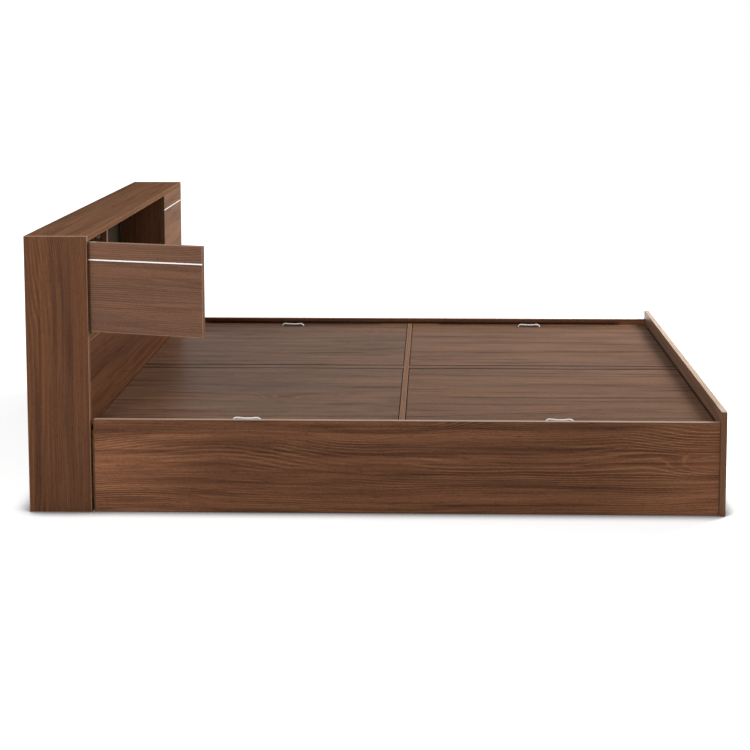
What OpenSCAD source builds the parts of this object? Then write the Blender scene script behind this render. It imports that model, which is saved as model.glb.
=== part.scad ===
// Box-storage platform bed with a storage headboard.
// The origin is on the floor under the middle of the cross divider.
// Head is -X, foot is +X, left is -Y and right is +Y, as seen from the foot. +Z is up.

/* [Bed] */
// Width of the headboard and of the foot panel
bed_w = 1865; // [1500:5:2000]
// Distance from the middle of the cross divider to the headboard
head_bay_l = 984; // [900:1:1100]
// Distance from the middle of the cross divider to the foot panel
foot_bay_l = 1004; // [900:1:1100]
// Thickness of the structural boards
board_t = 18; // [16:1:25]
// Height of the side panels
side_h = 299; // [240:5:400]
// Distance from the ends of the headboard to the outer faces of the side panels
side_inset = 9; // [0:1:40]
// Gap between the side panels and the headboard
head_gap = 8; // [0:0.5:20]
// Height of the foot panel
foot_h = 335; // [300:1:450]

/* [Deck] */
// Distance from the side panels' top edges down to the deck
deck_drop = 20; // [6:1:40]
// Thickness of the lift-up deck boards
lid_t = 18; // [12:1:25]
// Clearance along each edge of the deck boards
lid_gap = 2.5; // [1.5:0.5:5]
// Width of the centre rail
rail_w = 55; // [40:1:90]
// Width of the seat under the inner edge of each deck board
lid_seat = 15; // [8:1:30]
// Width of the cleats that carry the deck boards
cleat_w = 30; // [20:1:45]
// Height of the cleats
cleat_h = 30; // [20:1:45]
// Width of the square corner posts
post_w = 40; // [35:1:70]

/* [Storage floor] */
// Thickness of the storage floor boards
floor_t = 9; // [6:1:18]
// Height of the battens under the floor boards
batten_h = 20; // [10:1:30]
// Width of the battens
batten_w = 30; // [20:1:45]
// Clearance around the floor boards
floor_gap = 2; // [1:0.5:5]

/* [Headboard] */
// Height of the headboard
head_h = 884; // [800:5:1100]
// Depth of the headboard
head_depth = 198; // [160:5:300]
// Height of the shelf's top face
shelf_z = 567; // [480:1:640]
// Distance from the headboard's end to the open niche
cabinet_w = 419; // [330:1:600]

/* [Doors] */
// Gap between a door and the end panel
door_gap = 3; // [2:0.5:5]
// Gap above a door
door_gap_top = 2; // [1:0.5:5]
// Finger gap below a door
door_gap_bottom = 12; // [2:0.5:25]
// Gap between a closed door and the partition behind it
door_back_gap = 1; // [0.5:0.5:3]
// Angle at which the left door stands open
left_open = 105; // [0:5:105]
// Distance from a closed door's outer face to its pivot axis
pivot_back = 5; // [4.5:0.5:5.5]
// Distance from the end panel to the pivot axis
pivot_in = 7.5; // [7.5:0.5:12]
// Width of the white strip
strip_w = 4; // [3:0.5:12]
// Depth of the strip's groove
strip_depth = 2; // [1:0.5:4]
// How far the strip stands proud of the door
strip_proud = 0.3; // [0:0.1:1]
// Distance from a door's top edge to the middle of the strip
strip_down = 56; // [30:1:120]

/* [Pivots and catches] */
// Radius of the pivot pins
pin_r = 2.5; // [1.5:0.25:2.5]
// Radial clearance of the pins in their bushes
pin_clear = 0.05; // [0.02:0.01:0.1]
// Wall of the bushes
bush_wall = 1; // [0.8:0.1:1]
// Length of the bushes
bush_l = 12; // [8:1:14]
// Length of the pivot plates along the door
plate_l = 36; // [25:1:60]
// Width of the pivot plates
plate_w = 10; // [9:0.5:12]
// Thickness of the pivot plates
plate_t = 2; // [1.5:0.5:3]
// Height of the magnetic catches
catch_h = 46; // [30:1:60]
// Width of the catches
catch_w = 14; // [10:1:20]
// Depth of the catches
catch_d = 16; // [12:1:25]
// Distance from the shelf to the bottom of a catch
catch_up = 40; // [20:1:120]
// Thickness of the strike plates
strike_t = 0.6; // [0.4:0.1:0.8]
// Gap between a strike plate and its catch when the door is closed
catch_gap = 0.3; // [0.1:0.1:0.5]

/* [Cord pulls] */
// Diameter of the cord
cord_d = 5.5; // [4:0.5:6]
// Distance between the two holes of a pull
pull_spacing = 90; // [80:1:120]
// Diameter of the holes
pull_hole_d = 11; // [10.5:0.5:14]
// Distance from the side panel's inner face to the holes
pull_inset = 65; // [50:1:150]
// Diameter of the knots
knot_d = 17; // [15:1:22]

/* [Fittings] */
// Radius of the cams
cam_r = 7.5; // [6:0.5:10]
// Length of the cams
cam_l = 12.5; // [11:0.5:14]
// Distance from a board's end to the middle of its cams
cam_set = 32; // [24:1:40]
// Distance from a board's edge to its nearest cam
cam_edge = 48; // [30:1:60]
// Radius of the connecting bolts
cam_bolt_r = 3; // [2:0.5:3.5]
// Radial clearance around the connecting bolts
cam_bore_gap = 1; // [0.5:0.5:1.5]
// Depth to which the bolts grip the next board
cam_bite = 11; // [8:1:13]
// Radius of the screws
screw_r = 2; // [1.5:0.5:3]
// Radius of the screw heads
screw_head_r = 4; // [3.5:0.5:6]
// Height of the countersunk screw heads
screw_head_h = 2.5; // [1.5:0.5:4]
// Depth to which the screws grip the next board
screw_bite = 7.5; // [5:0.5:7.5]

/* [Hidden] */
$fn = 48;

// Colours
wood = [0.40, 0.27, 0.20];
wood_dark = [0.25, 0.17, 0.13];
pine = [0.78, 0.63, 0.44];
raw_board = [0.62, 0.49, 0.36];
white = [0.93, 0.93, 0.91];
steel = [0.68, 0.69, 0.70];
nylon = [0.85, 0.85, 0.82];
grey = [0.45, 0.45, 0.46];

// A small overlap that keeps cuts clean
eps = 0.01;

// Places of the main faces
head_x = -head_bay_l;
foot_x = foot_bay_l;
rear_x = head_x - head_depth;
half_w = bed_w / 2;
end_y = half_w - board_t;
back_x = rear_x + board_t;
front_in_x = head_x - board_t;
top_z = head_h - board_t;
under_shelf_z = shelf_z - board_t;
niche_y = half_w - cabinet_w;
partition_y = niche_y + board_t;
partition_x = front_in_x - door_back_gap;
side_y = half_w - side_inset;
inner_y = side_y - board_t;
deck_z = side_h - deck_drop;
seat_z = deck_z - lid_t;
cleat_z = seat_z - cleat_h;
half_t = board_t / 2;
centre_cleat_w = rail_w / 2 + lid_gap + lid_seat - half_t;
centre_cleat_y = half_t + centre_cleat_w;

// Door sizes and pivot
door_w = end_y - door_gap - niche_y;
door_z0 = shelf_z + door_gap_bottom;
door_z1 = top_z - door_gap_top;
pivot_x = head_x - pivot_back;
pivot_y = end_y - pivot_in;
strip_z = door_z1 - strip_down;
bush_bore_r = pin_r + pin_clear;
bush_r = bush_bore_r + bush_wall;
pin_bite = bush_l - 2;
plate_edge = 1;
plate_lip = 1.5;
flange_play = 0.2;
flange_r = bush_r + 1;
strike_margin = 6;
catch_x = front_in_x - strike_t - catch_gap;
catch_z = shelf_z + catch_up;

// Cord pulls
pull_y = inner_y - pull_inset;
cord_sides = 8;
leg_x = pull_spacing / 2 + 2;
knot_sink = 5;
knot_tail_l = 14;
// Route of the cord over the deck: x from the middle between the holes, z from the deck's top face
PULL_ROUTE = [
    [-leg_x, -lid_t], [-leg_x, -11], [-leg_x, -4.5], [1 - leg_x, 0], [3.7 - leg_x, 4.2],
    [7.5 - leg_x, 7], [12 - leg_x, 8], [-26, 7.6], [-14, 6.6], [0, 6], [14, 6.4], [24, 7.4],
    [leg_x - 16, 7.8], [leg_x - 10.5, 6.6], [leg_x - 6, 3.6], [leg_x - 2.8, -0.6],
    [leg_x - 1, -5.5], [leg_x, -11], [leg_x, -lid_t]
];

// Fittings
cam_bore_r = cam_bolt_r + cam_bore_gap;
cam_head_l = 3;
cam_slot_w = 1.6;
cam_slot_d = 1.5;
// Places of the fittings along their boards, as shares
CAM_SHARES = [0.3, 0.75];
CAM_SHARES_OFFSET = [0.42, 0.63];
PANEL_SHARES = [0.2, 0.53, 0.86];
POST_SHARES = [0.23, 0.82];
POST_SHARES_OFFSET = [0.36, 0.69];
CLEAT_SHARES = [0.08, 0.5, 0.92];

// ---------------------------------------------------------------- helpers

// A straight board between two opposite corners
module slab(low, high) {
    translate(low) cube(high - low);
}

// Children made for the right side (s = 1), mirrored for the left side (s = -1)
module on_side(s) {
    mirror([0, s < 0 ? 1 : 0, 0]) children();
}

// Children made for the foot (e = 1), mirrored for the head (e = -1).
// $reach is the distance from the middle of the cross divider to that end.
module to_end(e) {
    $reach = e < 0 ? head_bay_l : foot_bay_l;
    mirror([e < 0 ? 1 : 0, 0, 0]) children();
}

// Children made for the right foot bay, mirrored for all four bays
module each_bay() {
    for (s = [-1, 1], e = [-1, 1]) on_side(s) to_end(e) children();
}

// Swings a closed left door and what is on it to the angle at which it stands
module left_door_pose() {
    translate([pivot_x, -pivot_y, 0])
        rotate([0, 0, -left_open])
            translate([-pivot_x, pivot_y, 0])
                mirror([0, 1, 0]) children();
}

// ---------------------------------------------------------------- fittings
// A cam joint: the board lies below z = 0, its face is x = 0, and the next board begins at z = 0

module cam_disc_space(over = 0) {
    translate([over, 0, -cam_set])
        rotate([0, -90, 0])
            cylinder(r = cam_r, h = cam_l + over);
}

module cam_bolt_space(over = 0) {
    translate([-half_t, 0, -cam_set])
        cylinder(r = cam_bore_r, h = cam_set + over);
}

module cam_pocket() {
    cam_disc_space(over = 1);
    cam_bolt_space(over = 1);
}

module cam_pilot() {
    translate([-half_t, 0, -1])
        cylinder(r = cam_bolt_r, h = cam_bite + 1);
}

module cam_fitting() {
    difference() {
        cam_disc_space();
        cam_bolt_space();
        for (turn = [0, 90])
            translate([0, 0, -cam_set])
                rotate([turn, 0, 0])
                    translate([-cam_slot_d, -cam_r * 0.6, -cam_slot_w / 2])
                        cube([cam_slot_d + eps, cam_r * 1.2, cam_slot_w]);
    }
    translate([-half_t, 0, -cam_set + cam_head_l / 2])
        cylinder(r = cam_bolt_r + cam_bore_gap / 2, h = cam_head_l);
    translate([-half_t, 0, -cam_set + cam_head_l])
        cylinder(r = cam_bolt_r, h = cam_set - cam_head_l + cam_bite);
}

// A countersunk screw that points down from its head's face at z = 0
module screw(length) {
    translate([0, 0, -length])
        cylinder(r = screw_r, h = length - screw_head_h + eps);
    translate([0, 0, -screw_head_h])
        cylinder(r1 = screw_r, r2 = screw_head_r, h = screw_head_h);
}

// The hole that a screw fills, open at its head
module screw_hole(length) {
    screw(length);
    translate([0, 0, -eps])
        cylinder(r = screw_head_r, h = 1);
}

// Places of the cam joints, for the right side

module at_partition_cams() {
    for (x = [head_x - cam_edge, back_x + cam_edge]) {
        translate([x, partition_y, top_z])
            rotate([0, 0, 90]) children();
        translate([x, partition_y, shelf_z])
            mirror([0, 0, 1]) rotate([0, 0, 90]) children();
    }
}

// Cams in the underside of a level board whose end meets an end panel
module at_level_board_cams(z) {
    for (x = [head_x - cam_edge, back_x + cam_edge])
        translate([x, end_y, z])
            rotate([-90, 0, 0]) rotate([0, 0, 90]) children();
}

module at_front_cams() {
    for (share = PANEL_SHARES)
        translate([front_in_x, end_y, under_shelf_z * share])
            rotate([-90, 0, 0]) rotate([0, 0, 180]) children();
}

module at_back_cams() {
    for (z = [each under_shelf_z * PANEL_SHARES, top_z - cam_edge * 2])
        translate([back_x, end_y, z])
            rotate([-90, 0, 0]) children();
}

module at_cross_divider_cams() {
    for (share = CAM_SHARES)
        translate([half_t, inner_y, seat_z * share])
            rotate([-90, 0, 0]) children();
}

// Cams of the centre dividers, for the foot half
module at_centre_cams_outer() {
    for (share = CAM_SHARES)
        translate([$reach, half_t, seat_z * share])
            rotate([90, 0, 90]) children();
}

module at_centre_cams_inner(shares) {
    for (share = shares)
        translate([half_t, half_t, seat_z * share])
            mirror([1, 0, 0]) rotate([90, 0, 90]) children();
}

// Places of the screws, for the right side and the foot half

module at_side_cleat_screws() {
    run = $reach - post_w - half_t;
    for (share = CLEAT_SHARES)
        translate([half_t + run * share, inner_y - cleat_w, cleat_z + cleat_h / 2])
            rotate([90, 0, 0]) children();
}

module at_end_cleat_screws() {
    run = inner_y - post_w - centre_cleat_y;
    for (share = CLEAT_SHARES)
        translate([$reach - cleat_w, centre_cleat_y + run * share, cleat_z + cleat_h / 2])
            rotate([0, -90, 0]) children();
}

module at_cross_cleat_screws() {
    run = inner_y - cleat_w - centre_cleat_y;
    for (share = CLEAT_SHARES)
        translate([half_t + cleat_w, centre_cleat_y + run * share, cleat_z + cleat_h / 2])
            rotate([0, 90, 0]) children();
}

module at_centre_cleat_screws() {
    run = $reach - half_t;
    for (share = CLEAT_SHARES)
        translate([half_t + run * share, centre_cleat_y, cleat_z + cleat_h / 2])
            rotate([-90, 0, 0]) children();
}

module at_post_side_screws() {
    for (share = POST_SHARES)
        translate([$reach - post_w / 2, inner_y - post_w, seat_z * share])
            rotate([90, 0, 0]) children();
}

module at_post_end_screws() {
    for (share = POST_SHARES_OFFSET)
        translate([$reach - post_w, inner_y - post_w / 2, seat_z * share])
            rotate([0, -90, 0]) children();
}

// ---------------------------------------------------------------- headboard

module headboard_end(s) {
    color(wood)
    on_side(s) difference() {
        slab([rear_x, end_y, 0], [head_x, half_w, head_h]);
        at_level_board_cams(top_z) cam_pilot();
        at_level_board_cams(under_shelf_z) cam_pilot();
        at_front_cams() cam_pilot();
        at_back_cams() cam_pilot();
    }
}

module headboard_top() {
    color(wood)
    difference() {
        slab([rear_x, -end_y, top_z], [head_x, end_y, head_h]);
        for (s = [-1, 1]) on_side(s) {
            at_level_board_cams(top_z) cam_pocket();
            at_partition_cams() cam_pilot();
            translate([pivot_x, pivot_y, top_z - eps])
                cylinder(r = bush_r, h = bush_l + eps);
        }
    }
}

module headboard_back() {
    color(wood_dark)
    difference() {
        slab([rear_x, -end_y, 0], [back_x, end_y, top_z]);
        for (s = [-1, 1]) on_side(s) at_back_cams() cam_pocket();
    }
}

module headboard_front() {
    color(wood)
    difference() {
        slab([front_in_x, -end_y, 0], [head_x, end_y, under_shelf_z]);
        for (s = [-1, 1]) on_side(s) {
            at_front_cams() cam_pocket();
            to_end(-1) at_end_cleat_screws() screw_hole(cleat_w + screw_bite);
            to_end(-1) at_post_end_screws() screw_hole(post_w + screw_bite);
        }
        to_end(-1) at_centre_cams_outer() cam_pilot();
    }
}

module headboard_shelf() {
    color(wood)
    difference() {
        slab([back_x, -end_y, under_shelf_z], [head_x, end_y, shelf_z]);
        for (s = [-1, 1]) on_side(s) {
            at_level_board_cams(under_shelf_z) cam_pocket();
            at_partition_cams() cam_pilot();
            translate([pivot_x, pivot_y, shelf_z - bush_l])
                cylinder(r = bush_r, h = bush_l + eps);
        }
    }
}

// Uprights behind the front panel, one under each partition and one in the middle
module headboard_stiffeners() {
    color(raw_board)
    for (y = [-partition_y, -half_t, niche_y])
        slab([back_x, y, 0], [front_in_x, y + board_t, under_shelf_z]);
}

module partition(s) {
    color(wood_dark)
    on_side(s) difference() {
        slab([back_x, niche_y, shelf_z], [partition_x, partition_y, top_z]);
        at_partition_cams() cam_pocket();
    }
}

// ---------------------------------------------------------------- doors

// The plates lie in the top and bottom edges of the door, for the closed right door
module door_plate_space(z0, z1) {
    slab([head_x - plate_lip - plate_w, end_y - door_gap - plate_edge - plate_l, z0],
         [head_x - plate_lip, end_y - door_gap - plate_edge, z1]);
}

module door_closed() {
    difference() {
        slab([front_in_x, niche_y, door_z0], [head_x, niche_y + door_w, door_z1]);
        slab([head_x - strip_depth, niche_y - 1, strip_z - strip_w / 2],
             [head_x + 1, niche_y + door_w + 1, strip_z + strip_w / 2]);
        door_plate_space(door_z1 - plate_t, door_z1 + 1);
        door_plate_space(door_z0 - 1, door_z0 + plate_t);
    }
}

module door_strip_closed() {
    slab([head_x - strip_depth, niche_y, strip_z - strip_w / 2],
         [head_x + strip_proud, niche_y + door_w, strip_z + strip_w / 2]);
}

module door_pivots_closed() {
    door_plate_space(door_z1 - plate_t, door_z1);
    translate([pivot_x, pivot_y, door_z1 - plate_t])
        cylinder(r = pin_r, h = plate_t + door_gap_top + pin_bite);
    door_plate_space(door_z0, door_z0 + plate_t);
    translate([pivot_x, pivot_y, shelf_z - pin_bite])
        cylinder(r = pin_r, h = pin_bite + door_gap_bottom + plate_t);
}

module door_strike_closed() {
    slab([front_in_x - strike_t, partition_y + 1, catch_z + strike_margin],
         [front_in_x, partition_y + catch_w, catch_z + catch_h - strike_margin]);
}

module pivot_bushes() {
    color(nylon)
    for (s = [-1, 1]) on_side(s) translate([pivot_x, pivot_y, 0]) {
        translate([0, 0, top_z]) pivot_bush(door_gap_top - flange_play);
        translate([0, 0, shelf_z]) mirror([0, 0, 1]) pivot_bush(door_gap_bottom - flange_play);
    }
}

// A bush that reaches up into its board, with a flange that bears on the door's plate
module pivot_bush(flange_h) {
    difference() {
        union() {
            cylinder(r = bush_r, h = bush_l);
            translate([0, 0, -flange_h]) cylinder(r = flange_r, h = flange_h);
        }
        translate([0, 0, -flange_h - 1]) cylinder(r = bush_bore_r, h = bush_l + flange_h + 2);
    }
}

module door_catches() {
    color(grey)
    for (s = [-1, 1]) on_side(s)
        slab([catch_x - catch_d, partition_y, catch_z],
             [catch_x, partition_y + catch_w, catch_z + catch_h]);
}

// ---------------------------------------------------------------- base box

module side_panel(s) {
    color(wood)
    on_side(s) difference() {
        slab([head_x + head_gap, inner_y, 0], [foot_x, side_y, side_h]);
        at_cross_divider_cams() cam_pilot();
        for (e = [-1, 1]) to_end(e) {
            at_side_cleat_screws() screw_hole(cleat_w + screw_bite);
            at_post_side_screws() screw_hole(post_w + screw_bite);
        }
    }
}

module foot_panel() {
    color(wood)
    difference() {
        slab([foot_x, -half_w, 0], [foot_x + board_t, half_w, foot_h]);
        for (s = [-1, 1]) on_side(s) to_end(1) {
            at_end_cleat_screws() screw_hole(cleat_w + screw_bite);
            at_post_end_screws() screw_hole(post_w + screw_bite);
        }
        to_end(1) at_centre_cams_outer() cam_pilot();
    }
}

module cross_divider() {
    color(wood)
    difference() {
        slab([-half_t, -inner_y, 0], [half_t, inner_y, deck_z]);
        for (s = [-1, 1]) on_side(s) {
            at_cross_divider_cams() cam_pocket();
            for (e = [-1, 1]) to_end(e)
                at_cross_cleat_screws() screw_hole(cleat_w + screw_bite);
        }
        at_centre_cams_inner(CAM_SHARES_OFFSET) cam_pilot();
        to_end(-1) at_centre_cams_inner(CAM_SHARES) cam_pilot();
    }
}

module centre_divider(e) {
    color(raw_board)
    to_end(e) difference() {
        slab([half_t, -half_t, 0], [$reach, half_t, seat_z]);
        at_centre_cams_outer() cam_pocket();
        at_centre_cams_inner(e > 0 ? CAM_SHARES_OFFSET : CAM_SHARES) cam_pocket();
        for (s = [-1, 1]) on_side(s)
            at_centre_cleat_screws() screw_hole(centre_cleat_w + screw_bite);
    }
}

module centre_rail(e) {
    color(wood)
    to_end(e) slab([half_t, -rail_w / 2, seat_z], [$reach, rail_w / 2, deck_z]);
}

module side_cleats() {
    color(pine)
    each_bay() difference() {
        slab([half_t, inner_y - cleat_w, cleat_z], [$reach - post_w, inner_y, seat_z]);
        at_side_cleat_screws() screw_hole(cleat_w + screw_bite);
    }
}

module end_cleats(e) {
    color(pine)
    for (s = [-1, 1]) on_side(s) to_end(e) difference() {
        slab([$reach - cleat_w, centre_cleat_y, cleat_z], [$reach, inner_y - post_w, seat_z]);
        at_end_cleat_screws() screw_hole(cleat_w + screw_bite);
    }
}

module cross_cleats() {
    color(pine)
    each_bay() difference() {
        slab([half_t, centre_cleat_y, cleat_z], [half_t + cleat_w, inner_y - cleat_w, seat_z]);
        at_cross_cleat_screws() screw_hole(cleat_w + screw_bite);
    }
}

module centre_cleats() {
    color(pine)
    each_bay() difference() {
        slab([half_t, half_t, cleat_z], [$reach, centre_cleat_y, seat_z]);
        at_centre_cleat_screws() screw_hole(centre_cleat_w + screw_bite);
    }
}

module corner_posts() {
    color(pine)
    each_bay() difference() {
        slab([$reach - post_w, inner_y - post_w, 0], [$reach, inner_y, seat_z]);
        at_post_side_screws() screw_hole(post_w + screw_bite);
        at_post_end_screws() screw_hole(post_w + screw_bite);
    }
}

module floor_battens() {
    mid_y = (half_t + inner_y) / 2;
    color(pine)
    each_bay() {
        slab([half_t, half_t, 0], [$reach, half_t + batten_w, batten_h]);
        slab([half_t, mid_y - batten_w / 2, 0], [$reach, mid_y + batten_w / 2, batten_h]);
        slab([half_t, inner_y - batten_w, 0], [$reach - post_w, inner_y, batten_h]);
    }
}

module floor_board(s, e) {
    color(raw_board)
    on_side(s) to_end(e) difference() {
        slab([half_t + floor_gap, half_t + floor_gap, batten_h],
             [$reach - floor_gap, inner_y - floor_gap, batten_h + floor_t]);
        slab([$reach - post_w - floor_gap, inner_y - post_w - floor_gap, batten_h - 1],
             [$reach, inner_y, batten_h + floor_t + 1]);
    }
}

// ---------------------------------------------------------------- deck boards

module lid(s, e) {
    color(wood)
    on_side(s) to_end(e) difference() {
        slab([half_t + lid_gap, rail_w / 2 + lid_gap, seat_z],
             [$reach - lid_gap, inner_y - lid_gap, deck_z]);
        for (side = [-1, 1])
            translate([pull_x($reach) + side * pull_spacing / 2, pull_y, seat_z - 1])
                cylinder(d = pull_hole_d, h = lid_t + 2);
    }
}

// Middle of a deck board's length, where its cord pull is
function pull_x(reach) = (half_t + reach) / 2;

// Direction of the cord's route at point i
function route_dir(i) =
    let (step = PULL_ROUTE[min(i + 1, len(PULL_ROUTE) - 1)] - PULL_ROUTE[max(i - 1, 0)])
    step / norm(step);

// Ring of points square to the route at point i
function route_ring(i) =
    let (p = PULL_ROUTE[i], t = route_dir(i), r = cord_d / 2)
    [for (k = [0:cord_sides - 1])
        let (a = 360 * k / cord_sides)
        [p[0] - t[1] * r * cos(a), r * sin(a), p[1] + t[0] * r * cos(a)]];

module pull_tube() {
    n = cord_sides;
    last = len(PULL_ROUTE) - 1;
    points = [for (i = [0:last]) each route_ring(i)];
    sides = [for (i = [0:last - 1], k = [0:n - 1])
        let (a = i * n + k, b = i * n + (k + 1) % n)
        each [[b, b + n, a + n], [b, a + n, a]]];
    start_cap = [for (k = [1:n - 2]) [0, k + 1, k]];
    end_cap = [for (k = [1:n - 2]) [last * n, last * n + k, last * n + k + 1]];
    polyhedron(points = points, faces = [each sides, each start_cap, each end_cap]);
}

// A knot under the deck board, with the cord's short tail
module pull_knot() {
    difference() {
        translate([0, 0, -knot_sink]) sphere(d = knot_d);
        translate([-knot_d, -knot_d, 0]) cube(knot_d * 2);
    }
    translate([0, 0, -knot_sink - knot_tail_l])
        cylinder(d = cord_d, h = knot_tail_l);
}

module cord_pull(s, e) {
    color(white)
    on_side(s) translate([e * pull_x(e < 0 ? head_bay_l : foot_bay_l), pull_y, deck_z]) {
        pull_tube();
        for (end = [PULL_ROUTE[0], PULL_ROUTE[len(PULL_ROUTE) - 1]])
            translate([end[0], 0, -lid_t]) pull_knot();
    }
}

// ---------------------------------------------------------------- groups of fittings

module cam_fittings_headboard() {
    color(steel)
    for (s = [-1, 1]) on_side(s) {
        at_partition_cams() cam_fitting();
        at_level_board_cams(top_z) cam_fitting();
        at_level_board_cams(under_shelf_z) cam_fitting();
        at_front_cams() cam_fitting();
        at_back_cams() cam_fitting();
    }
}

module cam_fittings_base() {
    color(steel) {
        for (s = [-1, 1]) on_side(s) at_cross_divider_cams() cam_fitting();
        for (e = [-1, 1]) to_end(e) {
            at_centre_cams_outer() cam_fitting();
            at_centre_cams_inner(e > 0 ? CAM_SHARES_OFFSET : CAM_SHARES) cam_fitting();
        }
    }
}

module cleat_screws() {
    color(steel)
    each_bay() {
        at_side_cleat_screws() screw(cleat_w + screw_bite);
        at_end_cleat_screws() screw(cleat_w + screw_bite);
        at_cross_cleat_screws() screw(cleat_w + screw_bite);
        at_centre_cleat_screws() screw(centre_cleat_w + screw_bite);
    }
}

module post_screws() {
    color(steel)
    each_bay() {
        at_post_side_screws() screw(post_w + screw_bite);
        at_post_end_screws() screw(post_w + screw_bite);
    }
}

// ---------------------------------------------------------------- nodes

headboard_end(-1);  // headboard_end_left
headboard_end(1);  // headboard_end_right
headboard_top();
headboard_back();
headboard_front();
headboard_shelf();
headboard_stiffeners();
partition(-1);  // partition_left
partition(1);  // partition_right
color(wood) left_door_pose() door_closed();  // door_left
color(white) left_door_pose() door_strip_closed();  // door_strip_left
color(steel) left_door_pose() door_pivots_closed();  // door_pivots_left
color(steel) left_door_pose() door_strike_closed();  // door_strike_left
color(wood) door_closed();  // door_right
color(white) door_strip_closed();  // door_strip_right
color(steel) door_pivots_closed();  // door_pivots_right
color(steel) door_strike_closed();  // door_strike_right
pivot_bushes();
door_catches();
side_panel(-1);  // side_panel_left
side_panel(1);  // side_panel_right
foot_panel();
cross_divider();
centre_divider(-1);  // centre_divider_head
centre_divider(1);  // centre_divider_foot
centre_rail(-1);  // centre_rail_head
centre_rail(1);  // centre_rail_foot
side_cleats();
end_cleats(-1);  // head_cleats
end_cleats(1);  // foot_cleats
cross_cleats();
centre_cleats();
corner_posts();
floor_battens();
floor_board(-1, -1);  // floor_board_left_head
floor_board(-1, 1);  // floor_board_left_foot
floor_board(1, -1);  // floor_board_right_head
floor_board(1, 1);  // floor_board_right_foot
lid(-1, -1);  // lid_left_head
lid(-1, 1);  // lid_left_foot
lid(1, -1);  // lid_right_head
lid(1, 1);  // lid_right_foot
cord_pull(-1, -1);  // cord_pull_left_head
cord_pull(-1, 1);  // cord_pull_left_foot
cord_pull(1, -1);  // cord_pull_right_head
cord_pull(1, 1);  // cord_pull_right_foot
cam_fittings_headboard();
cam_fittings_base();
cleat_screws();
post_screws();
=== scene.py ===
# %% [markdown]
# # A box-storage platform bed, dressed for its photograph
#
# The bed is made of flat boards with a printed walnut finish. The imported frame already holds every
# board, cleat, screw and cam in its real place, so this lesson adds what the frame lacks: the camera,
# the braided cord pulls, the finishes, the light and the floor.

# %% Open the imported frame
import math

import bmesh
import bpy
import numpy as np
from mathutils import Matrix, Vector


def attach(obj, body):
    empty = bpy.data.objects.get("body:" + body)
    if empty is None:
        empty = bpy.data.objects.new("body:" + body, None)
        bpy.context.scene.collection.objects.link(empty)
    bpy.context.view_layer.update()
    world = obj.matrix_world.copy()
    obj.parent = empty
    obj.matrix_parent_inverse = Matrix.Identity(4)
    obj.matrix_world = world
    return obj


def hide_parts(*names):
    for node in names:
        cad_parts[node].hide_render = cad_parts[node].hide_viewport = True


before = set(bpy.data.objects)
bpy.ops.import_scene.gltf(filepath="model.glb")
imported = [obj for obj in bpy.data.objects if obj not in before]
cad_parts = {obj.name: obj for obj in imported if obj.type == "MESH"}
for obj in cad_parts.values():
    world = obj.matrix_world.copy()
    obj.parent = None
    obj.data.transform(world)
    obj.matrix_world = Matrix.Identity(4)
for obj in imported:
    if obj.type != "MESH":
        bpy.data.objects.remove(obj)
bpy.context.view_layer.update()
SIDES = {"left": -1, "right": 1}
ENDS = {"head": -1, "foot": 1}

# %% [markdown]
# ## The camera
#
# The photograph looks along the bed's width from a little above. The lens shift is what a product
# photographer uses to keep upright edges upright. Half of the downward look is in the shift and half
# is a tilt of six degrees, so that the other views of the scene still hold the whole bed.

# %% Set up the camera
PHOTO_PIXELS = 750
FOCAL_PIXELS = 1596.2
SENSOR_MM = 36
SHIFT = (-0.030, -0.2295)
CAMERA_AT = (0.1026, -5.8551, 1.5092)
DEGREES_DOWN, DEGREES_LEFT = 6.0, 1.329
lens = bpy.data.cameras.new("camera")
lens.sensor_width = SENSOR_MM
lens.lens = SENSOR_MM * FOCAL_PIXELS / PHOTO_PIXELS
lens.shift_x, lens.shift_y = SHIFT
camera = bpy.data.objects.new("camera", lens)
camera.location = CAMERA_AT
camera.rotation_euler = (math.radians(90 - DEGREES_DOWN), 0, math.radians(DEGREES_LEFT))
bpy.context.scene.collection.objects.link(camera)
bpy.context.scene.camera = camera
print("lens", round(lens.lens, 1), "mm")

# %% [markdown]
# ## A smooth line
#
# A cord's route is given by a few points. A Catmull-Rom curve passes through every one of them, so
# the cord starts and ends exactly in its holes, and its length can be measured along the finer
# points.

# %% Put a smooth line through a few points
def smooth_line(points, steps=6):
    """More points between the given ones, on a Catmull-Rom curve through them."""
    line = []
    for i in range(len(points) - 1):
        before = points[max(i - 1, 0)]
        a, b = points[i], points[i + 1]
        after = points[min(i + 2, len(points) - 1)]
        for k in range(steps):
            t = k / steps
            line.append(0.5 * (2 * a + (b - before) * t
                               + (2 * before - 5 * a + 4 * b - after) * t**2
                               + (3 * a - before - 3 * b + after) * t**3))
    return line + [points[-1]]


def line_length(line):
    """The length of the line, point to point."""
    return sum((b - a).length for a, b in zip(line, line[1:]))


print("route helpers ready")

# %% [markdown]
# ## A tube along a line
#
# A cord is a tube that follows a line of points. A curve object with a bevel would do it in one step,
# but here each ring of the tube is made in code, square to the line, so that its texture coordinates
# run along and round the cord in metres. A braid drawn on it keeps its scale whatever the length.

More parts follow.
